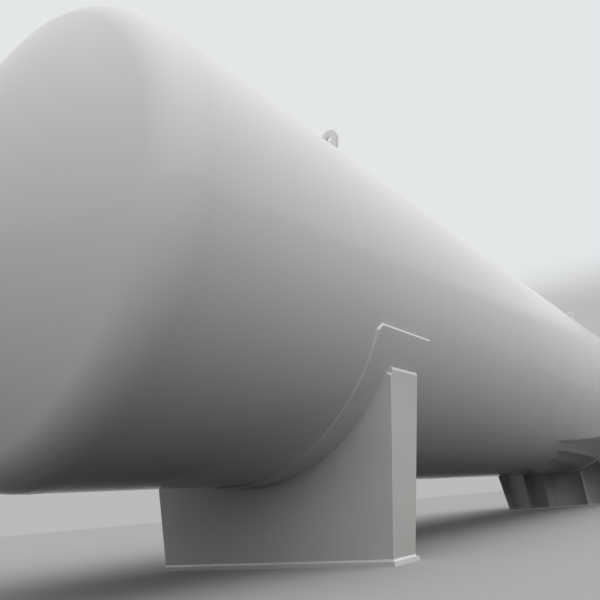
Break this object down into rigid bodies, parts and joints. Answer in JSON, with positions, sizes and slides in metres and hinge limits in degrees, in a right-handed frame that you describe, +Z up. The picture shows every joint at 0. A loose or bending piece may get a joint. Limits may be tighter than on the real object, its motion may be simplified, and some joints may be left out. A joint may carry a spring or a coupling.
{
  "type": "horizontal pressure tank",
  "caption": "Horizontal white-painted pressure tank with dished heads, two welded saddles with wear pads, lifting lugs, a top manway and blanked nozzles.",
  "frame": {"origin": "on the ground under the tank axis, midway between the two saddles", "axes": "+X along the tank from the near end to the far end, +Y to the left of that direction, +Z up"},
  "size_m": [13.7926, 2.9998, 3.876],
  "materials": {
    "shell_paint": "glossy white paint over welded steel plate",
    "saddle_paint": "satin white paint over cut steel plate",
    "flange_paint": "satin white paint over forged steel"
  },
  "bodies": {
    "root": {"head_near": "shell_paint", "head_far": "shell_paint", "shell_course_1": "shell_paint", "shell_course_2": "shell_paint", "shell_course_3": "shell_paint", "shell_course_4": "shell_paint", "shell_course_5": "shell_paint", "wear_pad_near": "shell_paint", "wear_pad_far": "shell_paint", "base_plate_near": "saddle_paint", "base_plate_far": "saddle_paint", "web_plate_near": "saddle_paint", "web_plate_far": "saddle_paint", "outer_rib_near_right": "saddle_paint", "outer_rib_near_left": "saddle_paint", "outer_rib_far_right": "saddle_paint", "outer_rib_far_left": "saddle_paint", "side_rib_near_right": "saddle_paint", "side_rib_near_left": "saddle_paint", "side_rib_far_right": "saddle_paint", "side_rib_far_left": "saddle_paint", "middle_ribs_near": "saddle_paint", "middle_ribs_far": "saddle_paint", "lifting_lug_near_right": "shell_paint", "lifting_lug_near_left": "shell_paint", "lifting_lug_far_right": "shell_paint", "lifting_lug_far_left": "shell_paint", "lug_pad_near_right": "shell_paint", "lug_pad_near_left": "shell_paint", "lug_pad_far_right": "shell_paint", "lug_pad_far_left": "shell_paint", "manway_pad": "shell_paint", "manway_neck": "flange_paint", "manway_cover": "flange_paint", "inlet_nozzle": "flange_paint", "inlet_cover": "flange_paint", "relief_nozzle": "flange_paint", "relief_cover": "flange_paint", "vent_nozzle": "flange_paint", "vent_cover": "flange_paint", "drain_nozzle": "flange_paint", "drain_cover": "flange_paint"}
  },
  "joints": []
}
